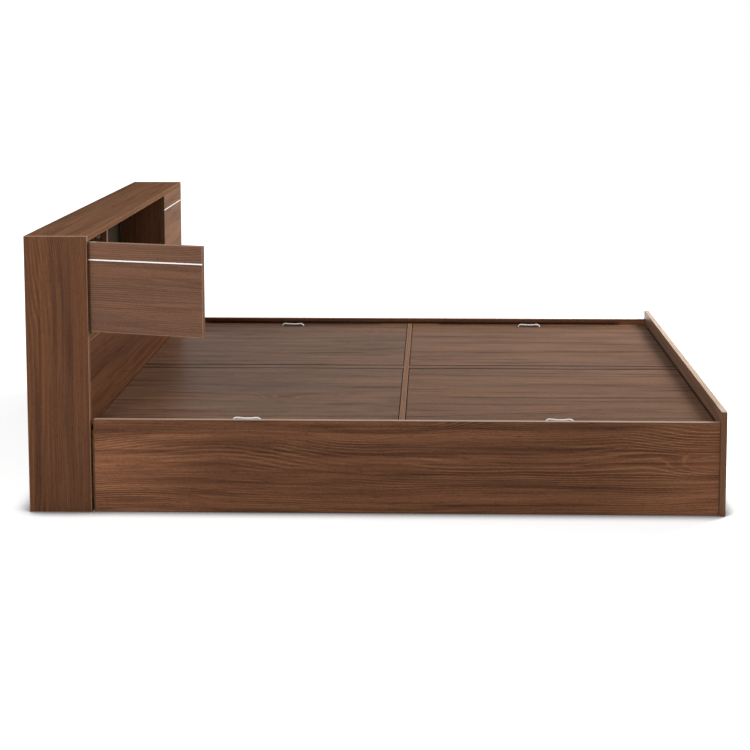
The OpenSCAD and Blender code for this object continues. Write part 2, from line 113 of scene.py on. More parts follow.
# %% Make a tube along a line of points
def tube(work, line, radius, sides=16, closed=False, taper=None):
    """Adds a tube round the line to the bmesh, with caps at open ends."""
    coords = work.loops.layers.uv.verify()
    count = len(line)
    rings, runs, run = [], [], 0.0
    normal = None
    for i, point in enumerate(line):
        ahead = line[(i + 1) % count] if closed else line[min(i + 1, count - 1)]
        behind = line[i - 1] if closed else line[max(i - 1, 0)]
        along = (ahead - behind).normalized()
        if normal is None:
            normal = along.orthogonal().normalized()
        normal = (normal - along * normal.dot(along)).normalized()
        other = along.cross(normal)
        size = radius * (taper(i / (count - 1)) if taper else 1)
        rings.append([work.verts.new(point + size * (normal * math.cos(a) + other * math.sin(a)))
                      for a in (2 * math.pi * k / sides for k in range(sides))])
        runs.append(run)
        run += (ahead - point).length
    for i in range(count if closed else count - 1):
        a, b = rings[i], rings[(i + 1) % count]
        ends = runs[i], (runs[i + 1] if i + 1 < count else run)
        for k in range(sides):
            face = work.faces.new((a[k], a[(k + 1) % sides], b[(k + 1) % sides], b[k]))
            face.smooth = True
            turn = 2 * math.pi * radius / sides
            for loop, at in zip(face.loops, ((ends[0], k * turn), (ends[0], (k + 1) * turn),
                                             (ends[1], (k + 1) * turn), (ends[1], k * turn))):
                loop[coords].uv = at
    if not closed:
        work.faces.new(reversed(rings[0]))
        work.faces.new(rings[-1])


def new_piece(name, mesh_maker, body):
    """A named object from a bmesh, riding on a body."""
    mesh = bpy.data.meshes.new(name)
    work = bmesh.new()
    mesh_maker(work)
    work.to_mesh(mesh)
    work.free()
    piece = bpy.data.objects.new(name, mesh)
    bpy.context.scene.collection.objects.link(piece)
    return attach(piece, body)


print("mesh helpers ready")

# %% [markdown]
# ## The knots
#
# An overhand knot under the board holds each end of a cord pull. A knot could be a ball, but three
# crossings of the same cord show from below when the board is up, so it follows the curve of a
# tightened trefoil.

# %% Make the knots of one cord
CORD_RADIUS = 0.00275
KNOT_SIZE = 0.00195
KNOT_DROP = 0.0058
KNOT_POINTS = 72
TAIL_STEP = 0.0022


def knot_line(middle):
    """A closed trefoil, lying flat under the board."""
    turns = [2 * math.pi * k / KNOT_POINTS for k in range(KNOT_POINTS)]
    return [middle + KNOT_SIZE * Vector((math.sin(t) + 2 * math.sin(2 * t),
                                         math.cos(t) - 2 * math.cos(2 * t), -1.25 * math.sin(3 * t)))
            for t in turns]


def make_knots(work, ends):
    """A knot under each end of a cord, with a short tail that narrows and isn't quite straight."""
    for end in ends:
        under = end + Vector((0, 0, -KNOT_DROP))
        tube(work, knot_line(under), CORD_RADIUS, sides=12, closed=True)
        tail = [under + Vector((0.0008 * math.sin(z * 500), 0.0006 * math.sin(z * 300), -z))
                for z in (k * TAIL_STEP for k in range(7))]
        tube(work, smooth_line(tail, 3), CORD_RADIUS, sides=12, taper=lambda t: 1 - 0.25 * t**6)


print("knot", round(1000 * line_length(knot_line(Vector()))), "mm of cord round")

# %% [markdown]
# ## The cord pulls
#
# Each deck board is lifted by a short white cord. It comes up through one hole, lies in a low arch
# and goes down through the other hole to its second knot. The route is the same one that the frame's
# solids have, in millimetres along the board and above it.

# %% Lay the four cord pulls
DECK_TOP = 0.279
PULL_Y = 0.8405
PULL_MIDDLE = {"head": -0.4965, "foot": 0.5065}
PULL_ROUTE = [(-47, -18), (-47, -11), (-47, -4.5), (-46, 0), (-43.3, 4.2), (-39.5, 7), (-35, 8),
              (-26, 7.6), (-14, 6.6), (0, 6), (14, 6.4), (24, 7.4), (31, 7.8), (36.5, 6.6), (41, 3.6),
              (44.2, -0.6), (46, -5.5), (47, -11), (47, -18)]
cords, knots = [], []
for side, s in SIDES.items():
    for end in ENDS:
        middle = Vector((PULL_MIDDLE[end], s * PULL_Y, DECK_TOP))
        points = [middle + Vector((x, 0, z)) / 1000 for x, z in PULL_ROUTE]
        line = smooth_line(points)
        body = f"{side}_{end}_lid"
        cord = new_piece(f"pull_cord_{side}_{end}",
                         lambda work: tube(work, line, CORD_RADIUS), body)
        pair = new_piece(f"pull_knots_{side}_{end}",
                         lambda work: make_knots(work, (points[0], points[-1])), body)
        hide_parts(f"cord_pull_{side}_{end}")
        cords.append(cord)
        knots.append(pair)
print("cord length", round(line_length(line), 4), "m")

# %% [markdown]
# ## Helpers for shader nodes
#
# A finish is a small program of nodes. A few short helpers keep that program readable: place adds a
# node and connects its inputs, calc and steer do one step of arithmetic, and new_group starts a node
# group with named sockets, which several materials can share.

# %% Place and connect nodes
def place(tree, kind, values=None, **settings):
    """Adds a node. values gives each input a number, a colour or the socket that feeds it."""
    made = tree.nodes.new(kind)
    for key, value in settings.items():
        setattr(made, key, value)
    for key, value in (values or {}).items():
        if isinstance(value, bpy.types.NodeSocket):
            tree.links.new(value, made.inputs[key])
        else:
            made.inputs[key].default_value = value
    return made


def calc(tree, operation, *values):
    """One step of arithmetic on numbers."""
    return place(tree, "ShaderNodeMath", dict(enumerate(values)), operation=operation).outputs[0]


def steer(tree, operation, *values):
    """One step of arithmetic on vectors."""
    return place(tree, "ShaderNodeVectorMath", dict(enumerate(values)), operation=operation).outputs[0]


def step_between(tree, value, low, high):
    """0 below low, 1 above high, smooth between them."""
    return place(tree, "ShaderNodeMapRange", {"Value": value, "From Min": low, "From Max": high},
                 interpolation_type="SMOOTHSTEP").outputs[0]


def noise(tree, where, scale=1.0, detail=2.0, roughness=0.5):
    """Soft noise, mostly between 0.3 and 0.7."""
    values = {"Vector": where, "Scale": scale, "Detail": detail, "Roughness": roughness}
    return place(tree, "ShaderNodeTexNoise", values).outputs["Fac"]


def blend_colour(tree, share, first, second, way="MIX"):
    """The first colour where share is 0, the second where it is 1."""
    return place(tree, "ShaderNodeMix", {"Factor": share, 6: first, 7: second},
                 data_type="RGBA", blend_type=way).outputs[2]


def new_group(name, inputs, outputs):
    """An empty node group with named sockets: (name, kind, default)."""
    tree = bpy.data.node_groups.new(name, "ShaderNodeTree")
    for title, kind, default in inputs:
        socket = tree.interface.new_socket(title, in_out="INPUT", socket_type=f"NodeSocket{kind}")
        if default is not None:
            socket.default_value = default
    for title, kind in outputs:
        tree.interface.new_socket(title, in_out="OUTPUT", socket_type=f"NodeSocket{kind}")
    return tree, tree.nodes.new("NodeGroupInput").outputs, tree.nodes.new("NodeGroupOutput").inputs


def srgb(*channels):
    """A colour read off a screen, 0 to 255, as the linear colour that a shader wants."""
    return tuple((c / 255 / 12.92) if c <= 10 else ((c / 255 + 0.055) / 1.055) ** 2.4
                 for c in channels) + (1,)


print("node helpers ready")

# %% [markdown]
# ## Wood grain
#
# The walnut print has broad bands of warm and greyish brown, and soft dark streaks with shorter wisps
# and pale threads between them. All of them are noise that is stretched along the grain: the less it
# is scaled along and the more across, the longer and thinner its marks. The grain runs along X of the
# group's Place input, and Seed moves the pattern, so that no two boards are the same. One group
# serves walnut, pine and the dark back.

# %% Start the grain group with bands and streaks
def stretch(tree, where, along, across):
    """The place, scaled along the grain and across it."""
    return steer(tree, "MULTIPLY", where, (along, across, across))


def product(tree, *values):
    """All the values multiplied."""
    made = values[0]
    for value in values[1:]:
        made = calc(tree, "MULTIPLY", made, value)
    return made


grain, given, gives = new_group(
    "wood_grain",
    [("Place", "Vector", None), ("Seed", "Float", 0.0), ("Warm", "Color", srgb(112, 76, 56)),
     ("Cool", "Color", srgb(92, 66, 52)), ("Dark", "Color", srgb(66, 42, 30)),
     ("Line", "Color", srgb(140, 96, 68)), ("Streaks", "Float", 0.6), ("Figure", "Float", 0.5),
     ("Fibre", "Float", 0.25), ("Wander", "Float", 0.03)],
    [("Color", "Color"), ("Height", "Float"), ("Tone", "Float")])
shift = place(grain, "ShaderNodeVectorMath", {0: (3.7, 1.9, 2.3), "Scale": given["Seed"]},
              operation="SCALE")
moved = steer(grain, "ADD", given["Place"], shift.outputs[0])
sway = calc(grain, "SUBTRACT", noise(grain, stretch(grain, moved, 1.3, 4.0), detail=1.5), 0.5)
sway = calc(grain, "MULTIPLY", sway, given["Wander"])
bent = steer(grain, "ADD", moved,
             place(grain, "ShaderNodeCombineXYZ", {"Y": sway, "Z": sway}).outputs[0])
bands = step_between(grain, noise(grain, stretch(grain, bent, 0.40, 11.0), detail=2.5), 0.38, 0.62)
streaks = step_between(grain, noise(grain, stretch(grain, bent, 0.9, 44.0), detail=3.0, roughness=0.6),
                       0.46, 0.70)
wisps = step_between(grain, noise(grain, stretch(grain, bent, 3.0, 60.0), detail=3.5, roughness=0.6),
                     0.50, 0.66)
pale = step_between(grain, noise(grain, stretch(grain, bent, 1.6, 135.0), detail=2.5), 0.50, 0.68)
print(grain.name, "so far", len(grain.nodes), "nodes")

# %% [markdown]
# ### Growth rings
#
# Thin paler lines lie a few millimetres apart. They run straight for most of the length and bend
# round where the figure opens. They are growth rings, cut at a slant. So the group counts rings
# across the board, lets a slow stretched noise push the count about, and takes its sine, which gives
# lines that wander and now and then close into an eye. A peak at a few scattered cells closes them
# round a knot.

# %% Draw the rings and the knots
RING_COUNT, RING_PUSH, KNOT_PUSH, RING_RAG = 820.0, 170.0, 42.0, 5.0
KNOT_ABOVE = 0.62
knots_in = stretch(grain, moved, 1.3, 5.5)
cell = place(grain, "ShaderNodeTexVoronoi", {"Vector": knots_in, "Scale": 1.0})
drawn = place(grain, "ShaderNodeSeparateColor", {0: cell.outputs["Color"]}).outputs[0]
chosen = calc(grain, "GREATER_THAN", drawn, KNOT_ABOVE)
peak = product(grain, step_between(grain, cell.outputs["Distance"], 0.42, 0.0), chosen)
slow = noise(grain, stretch(grain, bent, 0.50, 4.0), detail=1.0, roughness=0.35)
across = place(grain, "ShaderNodeVectorMath", {0: bent, 1: (0, 1, 1)},
               operation="DOT_PRODUCT").outputs["Value"]
count = calc(grain, "ADD", calc(grain, "MULTIPLY", across, RING_COUNT),
             calc(grain, "MULTIPLY", slow, RING_PUSH))
count = calc(grain, "ADD", count, calc(grain, "MULTIPLY", peak, KNOT_PUSH))
ragged = calc(grain, "MULTIPLY", noise(grain, stretch(grain, bent, 5.0, 50.0), detail=2.0), RING_RAG)
rings = calc(grain, "SINE", calc(grain, "ADD", count, ragged))
fading = step_between(grain, noise(grain, stretch(grain, moved, 2.0, 15.0), detail=2.5), 0.40, 0.64)
thin = product(grain, step_between(grain, rings, 0.45, 1.0), fading)
shade = product(grain, step_between(grain, rings, -0.35, -1.0), fading)
heart = step_between(grain, cell.outputs["Distance"], 0.075, 0.02)
print("rings every", round(2000 * math.pi / RING_COUNT, 1), "mm")

# %% [markdown]
# ### Fibres, pores and the mix
#
# Close up the print shows fibres, a fine speckle and short dark pores, which also give the bump its
# height. The colours are laid over each other from the broadest marks to the finest.

# %% Mix the grain's colour and height
fibre = noise(grain, stretch(grain, bent, 6.0, 230.0), detail=3.0, roughness=0.7)
speckle = noise(grain, stretch(grain, moved, 110.0, 300.0), detail=1.0)
pore = step_between(grain, noise(grain, stretch(grain, bent, 30.0, 620.0), detail=1.0), 0.58, 0.72)
tint = blend_colour(grain, bands, given["Cool"], given["Warm"])
tint = blend_colour(grain, product(grain, streaks, given["Streaks"]), tint, given["Dark"])
tint = blend_colour(grain, product(grain, wisps, given["Streaks"], 0.5), tint, given["Dark"])
tint = blend_colour(grain, product(grain, pale, given["Figure"], 0.55), tint, given["Line"])
tint = blend_colour(grain, product(grain, thin, given["Figure"]), tint, given["Line"])
tint = blend_colour(grain, product(grain, shade, given["Figure"], 0.55), tint, given["Dark"])
tint = blend_colour(grain, product(grain, heart, chosen, given["Figure"]), tint, given["Dark"])
lift = calc(grain, "SUBTRACT", calc(grain, "ADD", fibre, speckle), 1.0)
lift = calc(grain, "MULTIPLY", lift, given["Fibre"])
lift = calc(grain, "ADD", lift, 1.0)
lift = calc(grain, "SUBTRACT", lift, product(grain, pore, given["Fibre"], 0.6))
lift = place(grain, "ShaderNodeCombineXYZ", {"X": lift, "Y": lift, "Z": lift}).outputs[0]
tint = blend_colour(grain, 1.0, tint, lift, "MULTIPLY")
grain.links.new(tint, gives["Color"])
grain.links.new(calc(grain, "SUBTRACT", fibre, pore), gives["Height"])
grain.links.new(streaks, gives["Tone"])
print(grain.name, "with", len(grain.nodes), "nodes")

# %% [markdown]
# ## Board edges
#
# A laminated board shows three zones: the printed face, the narrow edge with its glued-on band, and
# the sharp corner line between them. That line is paler, partly because the band is cut flush there
# and wears first, and partly as a painted highlight, the glint of a lamp on a rounded edge. A
# pointiness map would need a dense mesh. These boards are boxes, so the distance to the box's sides
# tells the zones apart exactly: on a face one distance is zero, and the middle one of the three is the
# distance to the nearest corner line. Line width gives that line a width for each direction. End marks
# the two narrow faces that cut the grain: their band has its own grain, which runs along the band.
# From end and From top put out the distances themselves, for tones that change over a board.

# %% Build the board edges group
edges, given, gives = new_group(
    "board_edges",
    [("Place", "Vector", None), ("Low", "Vector", None), ("High", "Vector", None),
     ("Face", "Vector", None), ("Along", "Vector", None), ("Line width", "Vector", None)],
    [("Band", "Float"), ("Corner line", "Float"), ("End", "Float"), ("From end", "Float"),
     ("Top", "Float"), ("From top", "Float")])
below_high = steer(edges, "SUBTRACT", given["High"], given["Place"])
inside = steer(edges, "MINIMUM", steer(edges, "SUBTRACT", given["Place"], given["Low"]), below_high)
scaled = steer(edges, "DIVIDE", inside, given["Line width"])
x, y, z = place(edges, "ShaderNodeSeparateXYZ", {0: scaled}).outputs
middle = calc(edges, "MAXIMUM", calc(edges, "MINIMUM", x, y),
              calc(edges, "MINIMUM", calc(edges, "MAXIMUM", x, y), z))


def depth_along(direction):
    """How far a point is from the box's two sides that face this way."""
    return place(edges, "ShaderNodeVectorMath", {0: inside, 1: direction},
                 operation="DOT_PRODUCT").outputs["Value"]


edges.links.new(step_between(edges, depth_along(given["Face"]), 0.0004, 0.0010), gives["Band"])
from_end = depth_along(given["Along"])
edges.links.new(from_end, gives["From end"])
edges.links.new(step_between(edges, from_end, 0.0009, 0.0004), gives["End"])
top = place(edges, "ShaderNodeSeparateXYZ", {0: below_high}).outputs["Z"]
edges.links.new(step_between(edges, top, 0.0010, 0.0005), gives["Top"])
edges.links.new(top, gives["From top"])
# The corner line, with a noise in its width: partly wear of the band, partly a painted highlight.
line_wobble = noise(edges, given["Place"], scale=35.0, detail=3.0)
near = calc(edges, "DIVIDE", middle, calc(edges, "ADD", line_wobble, 0.6))
edges.links.new(calc(edges, "SUBTRACT", 1.0, step_between(edges, near, 0.35, 1.0)), gives["Corner line"])
print(edges.name, "with", len(edges.nodes), "nodes")

# %% [markdown]
# ## Painted shade in the corners
#
# Where one board stands on another, the corner is painted darker than the light alone makes it: this
# is painted shade. The ambient occlusion node tells how much of the space above a point is filled by
# something near. At the foot of a standing board half of it is filled, and further off less and less,
# so a power of it falls off quickly. Reach is the farthest distance that still counts, and Darkest is
# what is left of the colour in the corner.

# %% Build the painted corner shade group
SHADE_FALL = 6.5
corner_shade, given, gives = new_group(
    "painted_corner_shade", [("Color", "Color", None), ("Reach", "Float", 0.05), ("Darkest", "Float", 0.3)],
    [("Color", "Color")])
space = place(corner_shade, "ShaderNodeAmbientOcclusion", {"Distance": given["Reach"]}, samples=6).outputs["AO"]
left_over = calc(corner_shade, "MAXIMUM", calc(corner_shade, "POWER", space, SHADE_FALL), given["Darkest"])
corner_shade.links.new(steer(corner_shade, "MULTIPLY", given["Color"], left_over), gives["Color"])
print(corner_shade.name, "with", len(corner_shade.nodes), "nodes")

# %% [markdown]
# ## Starting a material
#
# Every finish starts from a Principled shader. Its roughness, metal and gloss are plain numbers on
# the shader itself, and the nodes feed only what changes over the surface: colour, roughness and the
# height of a bump. The place on a board comes from its own object space.

# %% Make the helpers for a material
ALONG = {"x": ("X", "Y", "Z"), "y": ("Y", "X", "Z"), "z": ("Z", "X", "Y")}


def new_material(name, roughness, metallic=0.0, gloss=0.5):
    """A material with its Principled shader ready, and its tree."""
    material = bpy.data.materials.new(name)
    material.use_nodes = True
    tree = material.node_tree
    shader = tree.nodes["Principled BSDF"]
    shader.inputs["Roughness"].default_value = roughness
    shader.inputs["Metallic"].default_value = metallic
    shader.inputs["Specular IOR Level"].default_value = gloss
    return material, tree, shader


def own_place(tree, turn=0.0):
    """The board's own coordinates, turned back by an angle about Z."""
    where = place(tree, "ShaderNodeTexCoord").outputs["Object"]
    if turn:
        where = place(tree, "ShaderNodeVectorRotate", {"Vector": where, "Angle": turn},
                      rotation_type="Z_AXIS").outputs[0]
    return where


def point_along(tree, where, axis):
    """The same place with the grain's axis first."""
    parts = place(tree, "ShaderNodeSeparateXYZ", {0: where}).outputs
    ordered = dict(zip("XYZ", (parts[a] for a in ALONG[axis])))
    return place(tree, "ShaderNodeCombineXYZ", ordered).outputs[0]


def bump(tree, shader, height, distance, strength=0.5):
    """Lets a height over the surface bend the shader's normal."""
    made = place(tree, "ShaderNodeBump", {"Height": height, "Distance": distance, "Strength": strength})
    tree.links.new(made.outputs[0], shader.inputs["Normal"])


def give(node, material):
    """Puts the material on a CAD node or on a piece of this scene."""
    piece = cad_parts[node] if isinstance(node, str) else node
    piece.data.materials.clear()
    piece.data.materials.append(material)


print("material helpers ready")

# %% [markdown]
# ## Finishing the boards
#
# Every board gets the same recipe with its own values: which way the grain runs, which faces are the
# broad ones, a seed, and the tones of the face and of the edge band. Coordinates come from the
# board's own object space, so the print stays on a door or a deck board when it moves. The open door
# stands turned in the frame, so its space is first turned back.
#
# Some boards need more. The side panels are made lighter towards the ends and darker just below the
# top, so levels gives three factors: at the ends, in the middle and at the top. top gives two paler
# tones for the top face, which lie in fine threads along it. Boards that meet others get painted shade
# in their corners, given as its reach and its darkest share. The painted shade starts a hand's width
# from a board's ends, because the shadow of the headboard or the foot panel already falls there.

# %% Make the finish of one board
FACING = {"x": (1, 0, 0), "y": (0, 1, 0), "z": (0, 0, 1)}
WALNUT = {"Warm": srgb(108, 71, 50), "Cool": srgb(92, 61, 46), "Dark": srgb(70, 44, 33),
          "Line": srgb(140, 96, 68)}
LEVEL_REACH = 0.45
UNDER_TOP = (0.020, 0.050)
SHADE_FROM_END = (0.09, 0.13)
THREAD_ACROSS, THREAD_ALONG = 420.0, 6.0


def box_in(name, turn):
    """Lowest and highest corner of a node's mesh, in a space turned about Z."""
    points = np.array([v.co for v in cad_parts[name].data.vertices])
    c, s = math.cos(turn), math.sin(turn)
    points = points @ np.array([[c, s, 0], [-s, c, 0], [0, 0, 1]])
    return points.min(0), points.max(0)


def levelled(tree, zones, levels):
    """A factor for the print's brightness: at the ends, in the middle and just below the top."""
    lengthwise = place(tree, "ShaderNodeMapRange",
                       {"Value": zones.outputs["From end"], "From Max": LEVEL_REACH,
                        "To Min": levels[0], "To Max": levels[1]},
                       interpolation_type="SMOOTHSTEP").outputs[0]
    under_top = place(tree, "ShaderNodeMapRange",
                      {"Value": zones.outputs["From top"], "From Min": UNDER_TOP[0],
                       "From Max": UNDER_TOP[1], "To Min": levels[2], "To Max": 1.0},
                      interpolation_type="SMOOTHSTEP").outputs[0]
    return calc(tree, "MULTIPLY", lengthwise, under_top)


def board_finish(node, along, face, seed, tones=WALNUT, band=srgb(150, 108, 78),
                 line=srgb(178, 142, 114), line_share=0.6, line_width=(0.0016,) * 3, band_share=0.35,
                 top=None, streaks=0.55, figure=0.45, fibre=0.40, wander=0.05, gloss=0.05, rough=0.48,
                 turn=0.0, print_size=(1.0, 1.0), corner_shading=None, levels=None):
    """Gives a CAD board its printed finish: grain, a band on the edges and corner lines."""
    material, tree, shader = new_material(f"finish_{node}", rough, gloss=gloss)
    where = own_place(tree, turn)
    low, high = box_in(node, turn)
    zones = place(tree, "ShaderNodeGroup",
                  {"Place": where, "Low": low, "High": high, "Face": FACING[face],
                   "Along": FACING[along], "Line width": line_width}, node_tree=edges)
    across = next(axis for axis in "xyz" if axis not in (along, face))
    grain_way = place(tree, "ShaderNodeMix",
                      {0: zones.outputs["End"], 4: point_along(tree, where, along),
                       5: point_along(tree, where, across)}, data_type="VECTOR")
    sized = stretch(tree, grain_way.outputs[1], 1 / print_size[0], 1 / print_size[1])
    print_on = place(tree, "ShaderNodeGroup",
                     {"Place": sized, "Seed": seed, "Streaks": streaks, "Figure": figure,
                      "Fibre": fibre, "Wander": wander, **tones}, node_tree=grain)
    printed = print_on.outputs["Color"]
    if levels:
        printed = steer(tree, "MULTIPLY", printed, levelled(tree, zones, levels))
    banded = blend_colour(tree, band_share, printed, band)
    colour = blend_colour(tree, zones.outputs["Band"], printed, banded)
    if top:
        thread = [THREAD_ACROSS if f else THREAD_ALONG for f in FACING[face]]
        lines = noise(tree, steer(tree, "MULTIPLY", where, thread), detail=1.5)
        pale = blend_colour(tree, step_between(tree, lines, 0.38, 0.62), top[0], top[1])
        colour = blend_colour(tree, zones.outputs["Top"], colour, pale)
    # The corner line's colour; the default pale one is partly wear and partly a painted highlight.
    share = calc(tree, "MULTIPLY", zones.outputs["Corner line"], line_share)
    colour = blend_colour(tree, share, colour, line)
    # Painted shade in the corners, from the ambient occlusion group.
    if corner_shading:
        shaded = place(tree, "ShaderNodeGroup",
                        {"Color": colour, "Reach": corner_shading[0], "Darkest": corner_shading[1]}, node_tree=corner_shade)
        colour = blend_colour(tree, step_between(tree, zones.outputs["From end"], *SHADE_FROM_END), colour,
                              shaded.outputs["Color"])
    tree.links.new(colour, shader.inputs["Base Color"])
    uneven = place(tree, "ShaderNodeMapRange",
                   {"Value": print_on.outputs["Tone"], "To Min": rough - 0.04,
                    "To Max": rough + 0.06}).outputs[0]
    tree.links.new(uneven, shader.inputs["Roughness"])
    bump(tree, shader, print_on.outputs["Height"], 0.00012, 0.6)
    give(node, material)


print("board recipe ready")

# %% [markdown]
# ## Tones of the walnut
#
# Each board starts from one of a few sets of tones, and factors set one sheet a little apart from
# another, as real sheets are. The larger factors on the far door and the far side panel are painted
# light. A look is a set of values that several boards share.

# %% Mix the tones
DECK = {"Warm": srgb(119, 87, 67), "Cool": srgb(105, 78, 62), "Dark": srgb(70, 49, 38),
        "Line": srgb(160, 124, 99)}
TOP = {"Warm": srgb(137, 98, 74), "Cool": srgb(124, 90, 69), "Dark": srgb(96, 65, 48),
       "Line": srgb(165, 123, 93)}
INSIDE = {"Warm": srgb(128, 86, 61), "Cool": srgb(106, 72, 53), "Dark": srgb(74, 49, 36),
          "Line": srgb(146, 102, 73)}
DOOR = {"Warm": srgb(114, 80, 62), "Cool": srgb(100, 72, 58), "Dark": srgb(78, 54, 43),
        "Line": srgb(140, 102, 78)}
# The colour of a dark joint, which the deck also uses for painted shade in its gaps.
SEAM_AND_SHADE = srgb(36, 24, 18)


def toned(tones, *factors):
    """The same tones, scaled lighter, darker or warmer: for another sheet, and for painted light."""
    return {name: tuple(c * f for c, f in zip(colour, factors + (1,))) for name, colour in tones.items()}


END_TONES = toned(WALNUT, 0.85, 0.82, 0.74)
PARTITION_TONES = toned(INSIDE, 1.2, 1.25, 1.25)
SIDE_TONES = {**toned(WALNUT, 0.97, 0.90, 0.80), "Warm": srgb(118, 78, 55), "Line": srgb(146, 102, 72)}
# The side panels' corner lines are dark: at the ends they are painted shade, as in the crack beside the
# headboard's end, and under the top they draw a dark line along the edge.
SIDE_LOOK = {"tones": SIDE_TONES, "figure": 0.55, "streaks": 0.8, "fibre": 0.6,
             "line": srgb(78, 52, 38), "line_share": 0.7, "line_width": (0.004, 0.0008, 0.003),
             "top": (srgb(166, 139, 119), srgb(184, 158, 136)), "levels": (1.43, 0.95, 0.80)}
# The far side panel is the near panel's walnut lightened 1.6 times: painted light on its inner face.
FAR_SIDE_LOOK = {**SIDE_LOOK, "tones": toned(SIDE_TONES, 1.6, 1.62, 1.65), "corner_shading": (0.012, 0.25),
                 "top": (srgb(150, 112, 90), srgb(168, 130, 106))}
DECK_PRINT = {"head": (0.50, 1.5), "foot": (0.70, 1.4)}
DECK_TONES = {"head": toned(DECK, 0.94, 0.92, 0.90), "foot": toned(DECK, 0.97, 0.90, 0.81)}
# The deck's dark corner lines, 6 mm wide across, are painted shade in the gaps between its boards.
DECK_LOOK = {"figure": 0.45, "streaks": 0.65, "fibre": 0.6, "wander": 0.03, "gloss": 0.009,
             "rough": 0.38, "line": SEAM_AND_SHADE, "line_share": 1.0, "line_width": (0.0018, 0.0062, 0.0016),
             "corner_shading": (0.10, 0.10)}
print("tone sets:", len((WALNUT, DECK, TOP, INSIDE, DOOR)))

# %% [markdown]
# ## The walnut boards
#
# The grain runs along each board's length, as on the real panels: upright on the headboard's ends and
# the partitions, across the bed on its top, front and shelf, on the doors, the cross divider and the
# foot panel, and along the bed on the side panels and the deck. No two boards are cut from the same
# place of a sheet, so each has its own seed.

# %% Finish the walnut boards
DOOR_TURN = math.radians(105)
board_finish("headboard_end_left", "z", "y", 1.0, tones=END_TONES)
board_finish("headboard_end_right", "z", "y", 2.0, tones=END_TONES)
board_finish("headboard_top", "y", "z", 3.0, tones=TOP, gloss=0.0, rough=0.6)
board_finish("headboard_front", "y", "x", 4.0, tones=toned(WALNUT, 0.85, 0.81, 0.75), gloss=0.01,
             rough=0.6)
board_finish("headboard_shelf", "y", "z", 5.0, tones=toned(WALNUT, 0.95, 0.85, 0.75), gloss=0.0,
             rough=0.6)
board_finish("side_panel_left", "x", "y", 41.5, **SIDE_LOOK)
board_finish("side_panel_right", "x", "y", 7.0, **FAR_SIDE_LOOK)
board_finish("foot_panel", "y", "x", 8.0, tones=toned(DECK, 1.12, 1.10, 1.08), streaks=0.35, gloss=0.14,
             rough=0.4, top=(srgb(172, 141, 115), srgb(206, 181, 156)), line=srgb(84, 58, 40),
             line_width=(0.001, 0.001, 0.002), band=srgb(100, 65, 40), band_share=0.7,
             corner_shading=(0.01, 0.25))
board_finish("cross_divider", "y", "x", 9.0, tones=DECK, gloss=0.02, rough=0.55)
board_finish("door_left", "y", "x", 10.0, tones=DOOR, turn=DOOR_TURN)
# The far door is the near door's board, lightened: painted light and a painted sheen on its face.
board_finish("door_right", "y", "x", 11.0, tones=toned(DOOR, 1.45, 1.46, 1.30), gloss=0.02, rough=0.6)
board_finish("partition_left", "z", "y", 12.0, tones=PARTITION_TONES, gloss=0.01)
board_finish("partition_right", "z", "y", 13.0, tones=PARTITION_TONES, gloss=0.01)
for end, e in ENDS.items():
    half = {"tones": DECK_TONES[end], "print_size": DECK_PRINT[end], **DECK_LOOK}
    board_finish(f"centre_rail_{end}", "x", "z", 14.0 + e, **half)
    for side, s in SIDES.items():
        board_finish(f"lid_{side}_{end}", "x", "z", 20.0 + 2 * s + e, **half)
print("walnut boards:", sum(m.name.startswith("finish_") for m in bpy.data.materials))

# %% [markdown]
# ## Raw board, softwood and the dark back
#
# Inside the box nothing is laminated. The floor boards, the centre dividers and the headboard's
# stiffeners are plain particle board: pressed chips, lighter and darker, with no grain direction.
# Cells of one tone each look like chips once a noise has pushed their edges about.

# %% Build the chips group
CHIPS_PER_METRE = 210.0
chips, given, gives = new_group(
    "pressed_chips",
    [("Place", "Vector", None), ("Light", "Color", srgb(186, 152, 112)),
     ("Deep", "Color", srgb(128, 96, 66))],
    [("Color", "Color"), ("Height", "Float")])
push = place(chips, "ShaderNodeTexNoise", {"Vector": given["Place"], "Scale": 160.0}).outputs["Color"]
warped = steer(chips, "ADD", given["Place"], steer(chips, "MULTIPLY", push, (0.006, 0.006, 0.006)))
flake = place(chips, "ShaderNodeTexVoronoi",
              {"Vector": warped, "Scale": CHIPS_PER_METRE, "Randomness": 1.0})
tone = place(chips, "ShaderNodeSeparateColor", {0: flake.outputs["Color"]}).outputs[0]
tone = calc(chips, "ADD", calc(chips, "MULTIPLY", tone, 0.6),
            calc(chips, "MULTIPLY", noise(chips, given["Place"], scale=9.0, detail=4.0), 0.4))
chips.links.new(blend_colour(chips, tone, given["Deep"], given["Light"]), gives["Color"])
chips.links.new(flake.outputs["Distance"], gives["Height"])
print(chips.name, "with", len(chips.nodes), "nodes")

# %% [markdown]
# The cleats, posts and battens are planed softwood, which uses the grain group with its own tones,
# and so does the headboard's back, a dark laminate with a faint grain. Nodes of several small pieces
# share one finish without board zones.

# %% Finish the raw and hidden boards
PINE = {"Warm": srgb(206, 168, 118), "Cool": srgb(190, 152, 104), "Dark": srgb(150, 108, 66),
        "Line": srgb(216, 182, 134)}
BACK = {"Warm": srgb(54, 46, 34), "Cool": srgb(45, 39, 29), "Dark": srgb(32, 27, 19),
        "Line": srgb(64, 55, 41)}
PLANED = {"Streaks": 0.35, "Figure": 0.6, "Fibre": 0.25}


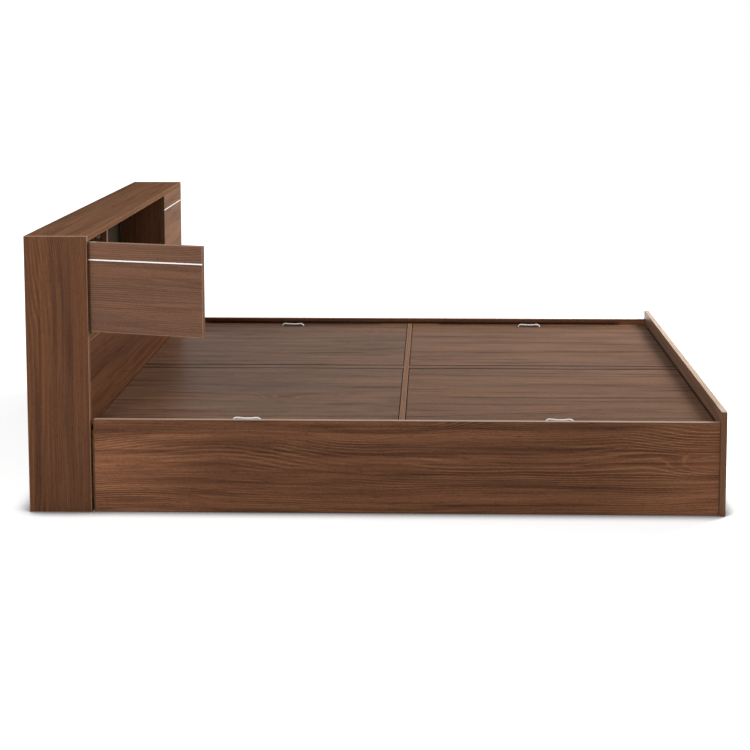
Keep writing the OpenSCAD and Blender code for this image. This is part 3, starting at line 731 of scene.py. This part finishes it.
def chip_finish(node, seed):
    """Gives a CAD board the look of raw particle board."""
    material, tree, shader = new_material(f"finish_{node}", 0.75, gloss=0.25)
    where = steer(tree, "ADD", own_place(tree), (seed, seed * 0.7, seed * 0.3))
    made = place(tree, "ShaderNodeGroup", {"Place": where}, node_tree=chips)
    tree.links.new(made.outputs["Color"], shader.inputs["Base Color"])
    bump(tree, shader, made.outputs["Height"], 0.0003)
    give(node, material)


def plain_grain(nodes, name, along, seed, tones, rough, **values):
    """A grained finish without board zones, shared by nodes that hold several pieces."""
    material, tree, shader = new_material(name, rough, gloss=0.1)
    print_on = place(tree, "ShaderNodeGroup",
                     {"Place": point_along(tree, own_place(tree), along), "Seed": seed,
                      **values, **tones}, node_tree=grain)
    tree.links.new(print_on.outputs["Color"], shader.inputs["Base Color"])
    bump(tree, shader, print_on.outputs["Height"], 0.0002, 0.6)
    for node in nodes:
        give(node, material)


for seed, node in enumerate([f"floor_board_{side}_{end}" for side in SIDES for end in ENDS]
                            + ["centre_divider_head", "centre_divider_foot", "headboard_stiffeners"]):
    chip_finish(node, float(seed))
plain_grain(["side_cleats", "centre_cleats", "floor_battens"], "pine_lengthwise", "x", 3.0, PINE, 0.55,
            **PLANED)
plain_grain(["head_cleats", "foot_cleats", "cross_cleats"], "pine_crosswise", "y", 4.0, PINE, 0.55,
            **PLANED)
plain_grain(["corner_posts"], "pine_upright", "z", 5.0, PINE, 0.55, **PLANED)
plain_grain(["headboard_back"], "dark_back", "z", 6.0, BACK, 0.5, Streaks=0.5, Figure=0.3, Fibre=0.25)
print("inside finishes ready")

# %% [markdown]
# ## Metal and plastic
#
# The small parts are zinc-plated steel, duller cast-zinc cams, brown nylon, brown catch plastic and
# the satin white strip in the doors. Each has a little unevenness in its gloss and colour, because
# perfectly even small parts look like toys.

# %% Finish the small parts
def mottled(nodes, name, light, deep, roughness, metallic=0.0, scale=90.0, relief=0.0001, gloss=0.5):
    """A two-tone finish with slightly uneven gloss, for the named nodes."""
    material, tree, shader = new_material(name, roughness, metallic, gloss)
    spots = noise(tree, own_place(tree), scale=scale, detail=4.0, roughness=0.6)
    tree.links.new(blend_colour(tree, spots, deep, light), shader.inputs["Base Color"])
    uneven = place(tree, "ShaderNodeMapRange", {"Value": spots, "To Min": roughness - 0.08,
                                                "To Max": roughness + 0.10}).outputs[0]
    tree.links.new(uneven, shader.inputs["Roughness"])
    bump(tree, shader, noise(tree, own_place(tree), scale=scale * 14, detail=2.0), relief)
    for node in nodes:
        give(node, material)


mottled(["cam_fittings_headboard", "cam_fittings_base"], "cast_zinc",
        srgb(224, 226, 230), srgb(190, 192, 198), 0.5, metallic=1.0, relief=0.00004)
mottled(["cleat_screws", "post_screws", "door_pivots_left", "door_pivots_right", "door_strike_left",
         "door_strike_right"], "zinc_steel",
        srgb(206, 208, 212), srgb(158, 160, 166), 0.34, metallic=1.0, relief=0.00004)
mottled(["door_strip_left", "door_strip_right"], "white_strip",
        srgb(250, 249, 246), srgb(240, 238, 234), 0.35, scale=30.0, relief=0.00003)
mottled(["pivot_bushes"], "brown_nylon", srgb(76, 56, 44), srgb(60, 43, 33), 0.45, gloss=0.2)
mottled(["door_catches"], "catch_plastic", srgb(84, 58, 44), srgb(66, 44, 34), 0.5)
print("small part finishes ready")

# %% [markdown]
# ## The braided cord
#
# The cord is braided: two sets of diagonal ridges cross on its skin. Its texture coordinates run in
# metres, so each ridge is 1.4 mm wide on every cord. The gaps between the ridges are painted a little
# darker, as painted shade, and a slow noise soils the white.

# %% Finish the cords
braid, given, gives = new_group(
    "braid", [("Run", "Vector", None), ("Ridge", "Float", 0.0014)],
    [("Height", "Float"), ("Gap", "Float")])
run, turn, _ = place(braid, "ShaderNodeSeparateXYZ", {0: given["Run"]}).outputs


def ridges(tree, lean):
    """One set of diagonal ridges: lean adds or subtracts the way round from the way along."""
    phase = calc(tree, "DIVIDE", calc(tree, lean, run, turn), given["Ridge"])
    return calc(tree, "ABSOLUTE", calc(tree, "SINE", calc(tree, "MULTIPLY", phase, math.pi / 2)))


height = calc(braid, "MAXIMUM", ridges(braid, "ADD"), ridges(braid, "SUBTRACT"))
braid.links.new(height, gives["Height"])
braid.links.new(step_between(braid, height, 0.92, 0.72), gives["Gap"])
print(braid.name, "with", len(braid.nodes), "nodes")

cord_skin, tree, shader = new_material("braided_cord", 0.7, gloss=1.0)
shader.inputs["Sheen Weight"].default_value = 0.3
made = place(tree, "ShaderNodeGroup", {"Run": place(tree, "ShaderNodeTexCoord").outputs["UV"]},
             node_tree=braid)
soiled = noise(tree, own_place(tree), scale=60.0, detail=2.0)
white = blend_colour(tree, soiled, srgb(250, 249, 247), srgb(255, 255, 254))
# Painted shade in the gaps of the braid.
braided = blend_colour(tree, made.outputs["Gap"], white, srgb(242, 240, 236))
tree.links.new(braided, shader.inputs["Base Color"])
bump(tree, shader, made.outputs["Height"], 0.0002, 0.35)
for piece in cords + knots:
    give(piece, cord_skin)
print("cords and knots:", len(cords) + len(knots))

# %% [markdown]
# ## Soften the boards' corners
#
# No real edge is a perfect corner: a routed edge band has a radius of about a millimetre. Each board
# gets a small bevel as a modifier, which leaves the CAD mesh itself alone. The importer keeps
# separate corners for flat shading, so the mesh is welded first.

# %% Bevel the CAD boards
def soften(node, width):
    """Welds a CAD board's corners and rounds them, as modifiers."""
    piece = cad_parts[node]
    weld = piece.modifiers.new("weld", "WELD")
    weld.merge_threshold = 0.00002
    bevel = piece.modifiers.new("bevel", "BEVEL")
    bevel.width = width
    bevel.segments = 2
    bevel.limit_method = "ANGLE"
    bevel.angle_limit = math.radians(50)


WIDTHS = {"cleat": 0.0015, "post": 0.002, "batten": 0.0015, "strip": 0.0002, "catch": 0.001,
          "strike": 0.0001, "floor": 0.0004}
BOARD_WIDTH = 0.0008
LEFT_SHARP = ("cam_", "screws", "bush", "pivot", "cord_")
softened = [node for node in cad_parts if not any(word in node for word in LEFT_SHARP)]
for node in softened:
    soften(node, next((width for word, width in WIDTHS.items() if word in node), BOARD_WIDTH))
print("softened", len(softened), "nodes")

# %% [markdown]
# ## Floor
#
# The photograph is a cut-out on white with a thin soft shadow under the bed's lower edges. The floor
# is one plain face, which isn't part of the bed. It lies half a millimetre low, so that no two faces
# share one place.

# %% Lay the floor
FLOOR_HALF, FLOOR_Z = 40, -0.0005
floor_mesh = bpy.data.meshes.new("floor")
work = bmesh.new()
bmesh.ops.create_grid(work, x_segments=1, y_segments=1, size=FLOOR_HALF)
work.to_mesh(floor_mesh)
work.free()
floor = bpy.data.objects.new("floor", floor_mesh)
floor.location = (0, 0, FLOOR_Z)
bpy.context.scene.collection.objects.link(floor)
print("floor", floor.dimensions.x, "m wide")

# %% [markdown]
# ## The floor's finish
#
# The floor is matt white. For the camera it also glows a little near the bed and fully far away, so
# that only the darkest part of the shadow is left and no horizon shows. Within a few centimetres of
# the bed the floor is darker still, which is the contact shadow: there the ambient occlusion node
# says how much of the sky the bed hides.

# %% Finish the floor
def seen_directly(tree):
    """1 for what the camera sees or sees mirrored or through glass, 0 for scattered light."""
    path = place(tree, "ShaderNodeLightPath").outputs
    return calc(tree, "MAXIMUM", path["Is Camera Ray"],
                calc(tree, "MAXIMUM", path["Is Glossy Ray"], path["Is Transmission Ray"]))


NEAR_GLOW, GLOW_FROM, GLOW_FULL = 0.58, 1.6, 4.0
CONTACT_WIDTH, CONTACT_LEFT = 0.085, 0.14
CORNER_OPEN, CLEAR_OPEN = 0.5, 0.93
MATT_WHITE = (0.9, 0.9, 0.9, 1)
material = bpy.data.materials.new("white_floor")
material.use_nodes = True
tree = material.node_tree
tree.nodes.clear()
away = place(tree, "ShaderNodeVectorMath", {0: own_place(tree)}, operation="LENGTH").outputs["Value"]
glow_here = place(tree, "ShaderNodeMapRange",
                  {"Value": away, "From Min": GLOW_FROM, "From Max": GLOW_FULL,
                   "To Min": NEAR_GLOW, "To Max": 1.0}).outputs[0]
open_sky = place(tree, "ShaderNodeAmbientOcclusion", {"Distance": CONTACT_WIDTH}, samples=8).outputs["AO"]
contact = place(tree, "ShaderNodeMapRange",
                {"Value": open_sky, "From Min": CORNER_OPEN, "From Max": CLEAR_OPEN,
                 "To Min": CONTACT_LEFT, "To Max": 1.0}).outputs[0]
glow_here = calc(tree, "MULTIPLY", glow_here, contact)
matt = place(tree, "ShaderNodeBsdfDiffuse",
             {"Color": blend_colour(tree, contact, (0, 0, 0, 1), MATT_WHITE)})
strength = calc(tree, "MULTIPLY", glow_here, seen_directly(tree))
glow = place(tree, "ShaderNodeEmission", {"Color": (1, 1, 1, 1), "Strength": strength})
both = place(tree, "ShaderNodeAddShader", {0: matt.outputs[0], 1: glow.outputs[0]})
out = place(tree, "ShaderNodeOutputMaterial")
tree.links.new(both.outputs[0], out.inputs["Surface"])
give(floor, material)
print(material.name, "with", len(tree.nodes), "nodes")

# %% [markdown]
# ## The background
#
# The world is white for the camera and for reflections, and a quiet fill for everything else, so the
# white around the bed adds no light to it.

# %% Build the background
AMBIENT = 0.30
world = bpy.data.worlds.new("studio")
bpy.context.scene.world = world
world.use_nodes = True
tree = world.node_tree
tree.nodes.clear()
quiet = place(tree, "ShaderNodeBackground", {"Color": (1, 1, 1, 1), "Strength": AMBIENT})
bright = place(tree, "ShaderNodeBackground", {"Color": (1, 1, 1, 1), "Strength": 1.0})
mix = place(tree, "ShaderNodeMixShader",
            {0: seen_directly(tree), 1: quiet.outputs[0], 2: bright.outputs[0]})
out = place(tree, "ShaderNodeOutputWorld")
tree.links.new(mix.outputs[0], out.inputs["Surface"])
print("fill light", AMBIENT)

# %% [markdown]
# ## Lamps
#
# A broad lamp in front and a little to the left lights the long side, and one above the foot's far
# corner lights the deck and the doors. Both are large and plain, so that the colours come out as they
# are written. The two lamps are squares of 1.6 m, aimed at the middle of the bed. The front one
# stands far enough to the left that the headboard's end, which is 9 mm proud of the side panel,
# throws the thin dark line beside it; painted shade on the side panel's ends deepens it.

# %% Hang the lamps
LAMP_SIZE = 1.6
AIM = Vector((0, 0, 0.3))


def lamp(name, at, watts):
    """A square area lamp at a point, aimed at the bed."""
    data = bpy.data.lights.new(name, "AREA")
    data.size = LAMP_SIZE
    data.energy = watts
    made = bpy.data.objects.new(name, data)
    made.location = at
    made.rotation_euler = (AIM - Vector(at)).to_track_quat("-Z", "Y").to_euler()
    bpy.context.scene.collection.objects.link(made)


lamp("front_left", (-2.4, -5.0, 2.6), 150)
lamp("back_right", (3.4, 2.0, 3.0), 215)
bpy.context.scene.view_settings.view_transform = "Standard"
